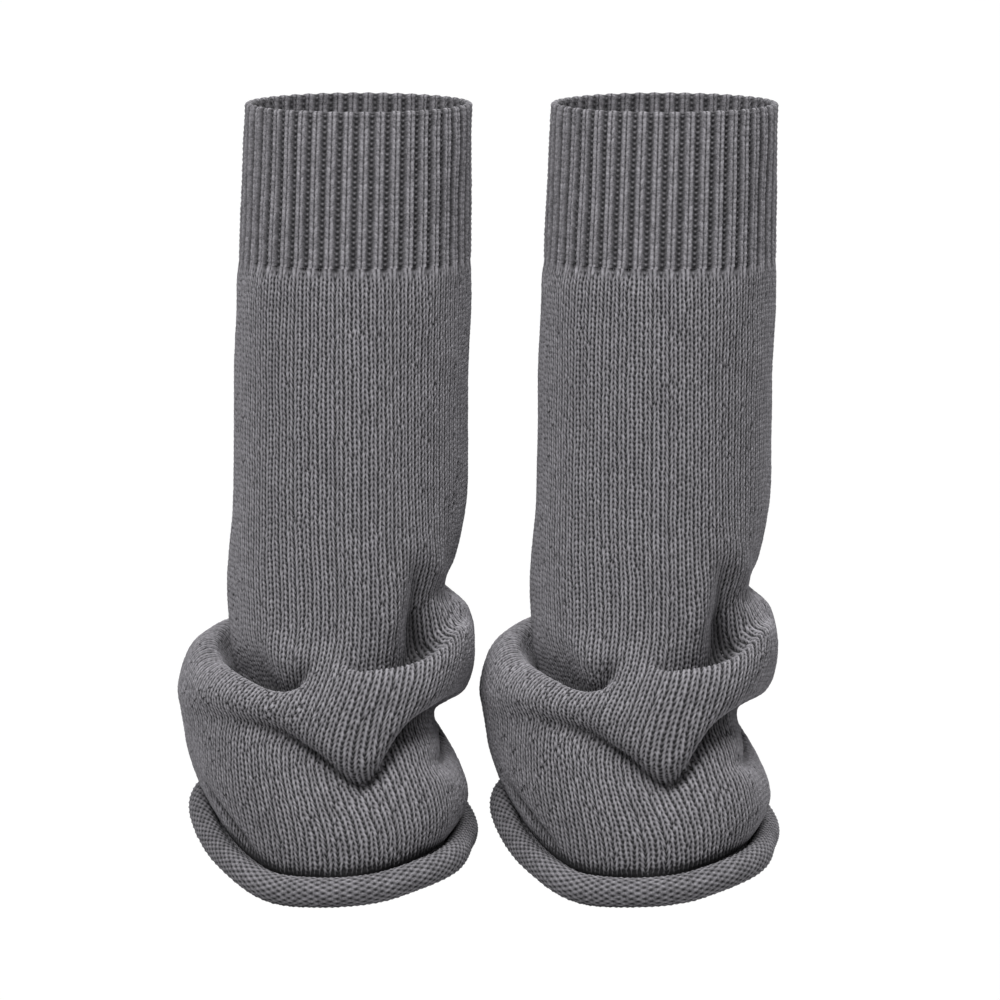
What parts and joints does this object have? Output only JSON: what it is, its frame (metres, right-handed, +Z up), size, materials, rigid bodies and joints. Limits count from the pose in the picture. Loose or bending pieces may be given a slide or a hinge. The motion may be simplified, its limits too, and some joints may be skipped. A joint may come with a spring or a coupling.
{
  "type": "pair of leg warmers",
  "caption": "Pair of knitted leg warmers in worn form: ribbed cuff on top, plain knit leg slouching in soft folds, hem curling outwards into a roll. Hollow and open at each end.",
  "frame": {"origin": "midway between the two calves that hold the pair, at half the height of the ribbed cuffs", "axes": "+Z up along the legs, +X towards the viewer's right-hand leg warmer, +Y away from the viewer, so the front faces -Y"},
  "size_m": [0.3133, 0.1695, 0.4065],
  "materials": {
    "rib_knit": "matt grey heather wool, 1x1 rib",
    "plain_knit": "matt grey heather wool, stockinette",
    "hem_knit": "matt grey heather wool, purl side of the stockinette"
  },
  "bodies": {
    "root": {"left_rib_cuff": "rib_knit", "left_straight_leg": "plain_knit", "left_slouch_leg": "plain_knit", "left_rolled_hem": "hem_knit", "right_rib_cuff": "rib_knit", "right_straight_leg": "plain_knit", "right_slouch_leg": "plain_knit", "right_rolled_hem": "hem_knit"}
  },
  "joints": []
}
